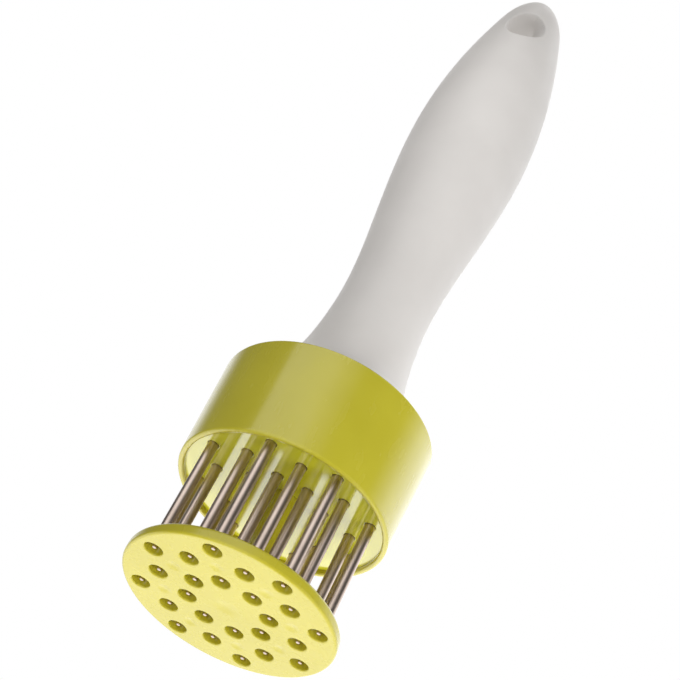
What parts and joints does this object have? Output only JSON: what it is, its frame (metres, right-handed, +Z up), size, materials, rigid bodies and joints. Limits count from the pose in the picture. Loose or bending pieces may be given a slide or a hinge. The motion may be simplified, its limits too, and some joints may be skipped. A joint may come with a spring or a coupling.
{
  "type": "meat tenderizer",
  "caption": "Hand-pressed meat tenderizer: pointed steel needles under a tapered grip, with a sprung guard plate that slides up to bare them.",
  "frame": {"origin": "centre of the guard plate's lower face, which the tool stands on", "axes": "+Z up the tool's axis from the guard plate to the tip of the grip, -Y to the front, where the recess in the grip is"},
  "size_m": [0.0502, 0.0502, 0.2075],
  "materials": {
    "grip_plastic": "satin moulded",
    "green_plastic": "glossy, slightly translucent",
    "needle_steel": "ground and polished",
    "steel_plate": "stamped",
    "plated_steel": "zinc plated",
    "spring_steel": "drawn wire"
  },
  "bodies": {
    "grip_head": {"handle": "grip_plastic", "collar": "green_plastic", "needle_holder": "green_plastic", "backing_plate": "steel_plate", "return_spring": "spring_steel", "needle_01": "needle_steel", "needle_02": "needle_steel", "needle_03": "needle_steel", "needle_04": "needle_steel", "needle_05": "needle_steel", "needle_06": "needle_steel", "needle_07": "needle_steel", "needle_08": "needle_steel", "needle_09": "needle_steel", "needle_10": "needle_steel", "needle_11": "needle_steel", "needle_12": "needle_steel", "needle_13": "needle_steel", "needle_14": "needle_steel", "needle_15": "needle_steel", "needle_16": "needle_steel", "needle_17": "needle_steel", "needle_18": "needle_steel", "needle_19": "needle_steel", "needle_20": "needle_steel", "needle_21": "needle_steel", "needle_22": "needle_steel", "needle_23": "needle_steel", "needle_24": "needle_steel"},
    "guard": {"guard_plate": "green_plastic", "guide_post": "green_plastic", "stop_washer": "plated_steel", "stop_screw": "plated_steel"}
  },
  "joints": [
    {"name": "guard_slide", "type": "slide", "parent": "grip_head", "child": "guard", "axis": [0, 0, 1], "range_m": [0, 0.0235], "stiffness_N_per_m": 800, "springref_m": -0.012, "deforming": ["return_spring"]}
  ]
}
